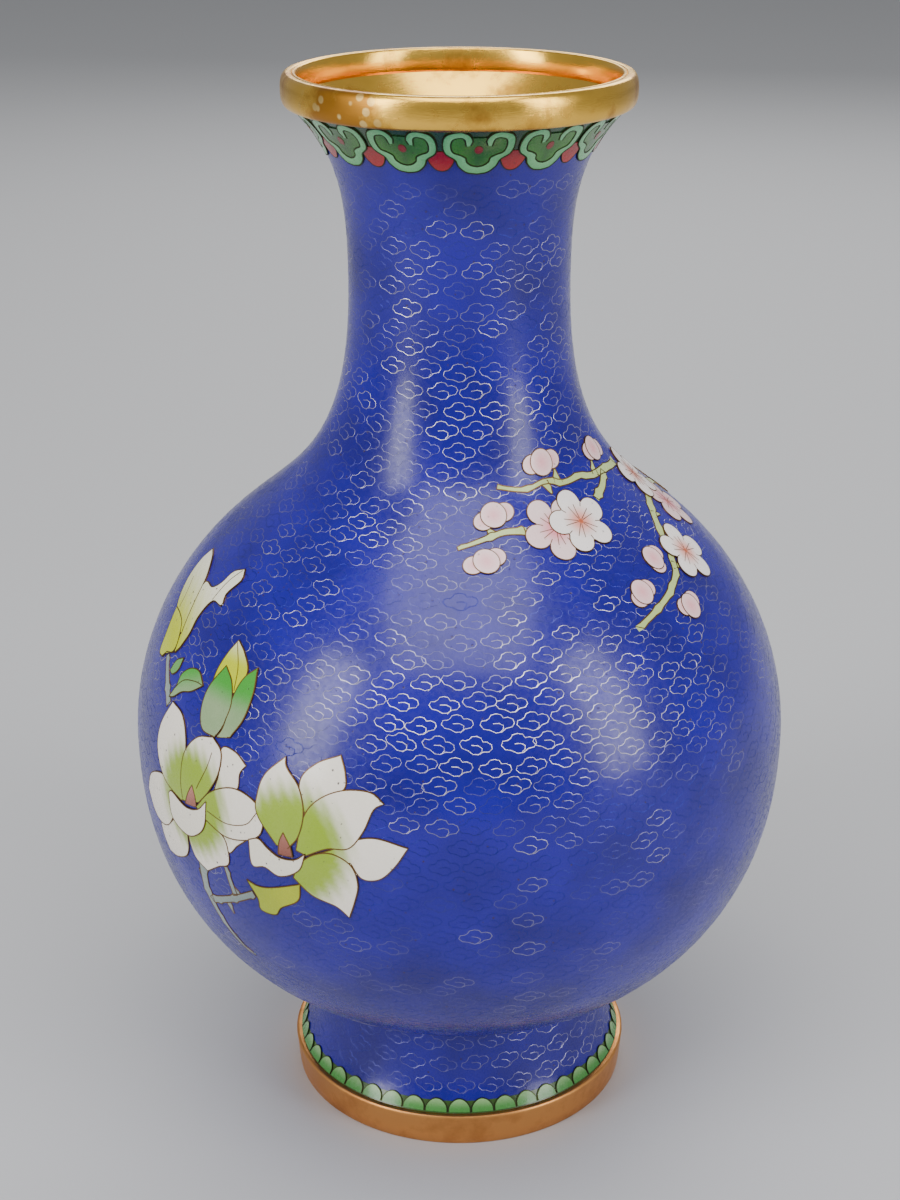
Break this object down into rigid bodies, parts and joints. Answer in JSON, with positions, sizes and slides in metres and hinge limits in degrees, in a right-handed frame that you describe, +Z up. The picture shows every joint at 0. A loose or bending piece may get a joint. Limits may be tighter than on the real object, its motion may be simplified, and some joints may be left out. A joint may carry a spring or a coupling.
{
  "type": "cloisonne vase",
  "caption": "Round-bellied cobalt cloisonne vase with a flared neck, a spreading foot, gilt rims and enamelled flower sprays.",
  "frame": {"origin": "on the vase's axis, in the plane it stands on", "axes": "+Z up along the axis; -Y is the front, between the two flower sprays"},
  "size_m": [0.1586, 0.1586, 0.254],
  "materials": {
    "copper": "dull copper sheet",
    "gilt": "worn gilding",
    "wire": "thin gilt wire, polished flush",
    "counter_enamel": "plain fired enamel",
    "cobalt_enamel": "deep cobalt enamel, polished, finely pitted",
    "border_enamel": "dark grey-green enamel",
    "scallop_enamel": "green enamel",
    "jade_enamel": "pale jade enamel",
    "white_enamel": "white enamel shaded to yellow green at the heart",
    "lime_enamel": "yellow-green enamel",
    "leaf_enamel": "leaf green enamel",
    "twig_enamel": "grey-green enamel",
    "pale_twig_enamel": "pale yellow-green enamel",
    "pink_enamel": "pale pink enamel",
    "blush_enamel": "near-white pink enamel"
  },
  "bodies": {
    "root": {"copper_base_plate": "copper", "copper_foot": "copper", "copper_lower_belly": "copper", "copper_neck": "copper", "copper_upper_belly": "copper", "enamel_base": "counter_enamel", "enamel_body": "cobalt_enamel", "enamel_border": "border_enamel", "enamel_foot": "cobalt_enamel", "enamel_foot_border": "scallop_enamel", "enamel_lining": "counter_enamel", "foot_joint_wire": "wire", "gilt_foot_rim": "gilt", "gilt_mouth_rim": "gilt", "gilt_mouth_sleeve": "gilt", "magnolia_bud": "leaf_enamel", "magnolia_calyx": "lime_enamel", "magnolia_folded_leaf": "leaf_enamel", "magnolia_left_bloom": "white_enamel", "magnolia_main_branch": "twig_enamel", "magnolia_right_bloom": "white_enamel", "magnolia_right_twig": "twig_enamel", "magnolia_short_twig": "twig_enamel", "magnolia_small_leaf": "leaf_enamel", "magnolia_upper_bloom": "white_enamel", "magnolia_upper_twig": "twig_enamel", "plum_arm": "pale_twig_enamel", "plum_back_blossom": "blush_enamel", "plum_back_branch": "pale_twig_enamel", "plum_back_pink_blossom": "pink_enamel", "plum_bud_1": "pink_enamel", "plum_bud_2": "pink_enamel", "plum_bud_3": "pink_enamel", "plum_bud_4": "pink_enamel", "plum_bud_5": "pink_enamel", "plum_bud_6": "pink_enamel", "plum_bud_7": "pink_enamel", "plum_bud_8": "pink_enamel", "plum_front_blossom": "blush_enamel", "plum_front_pink_blossom": "pink_enamel", "plum_left_branch": "pale_twig_enamel", "plum_right_blossom": "blush_enamel", "plum_right_branch": "pale_twig_enamel", "plum_side_blossom": "blush_enamel", "plum_side_pink_blossom": "pink_enamel", "plum_upper_branch": "pale_twig_enamel", "ruyi_head_1": "jade_enamel", "ruyi_head_10": "jade_enamel", "ruyi_head_11": "jade_enamel", "ruyi_head_12": "jade_enamel", "ruyi_head_13": "jade_enamel", "ruyi_head_2": "jade_enamel", "ruyi_head_3": "jade_enamel", "ruyi_head_4": "jade_enamel", "ruyi_head_5": "jade_enamel", "ruyi_head_6": "jade_enamel", "ruyi_head_7": "jade_enamel", "ruyi_head_8": "jade_enamel", "ruyi_head_9": "jade_enamel"}
  },
  "joints": []
}
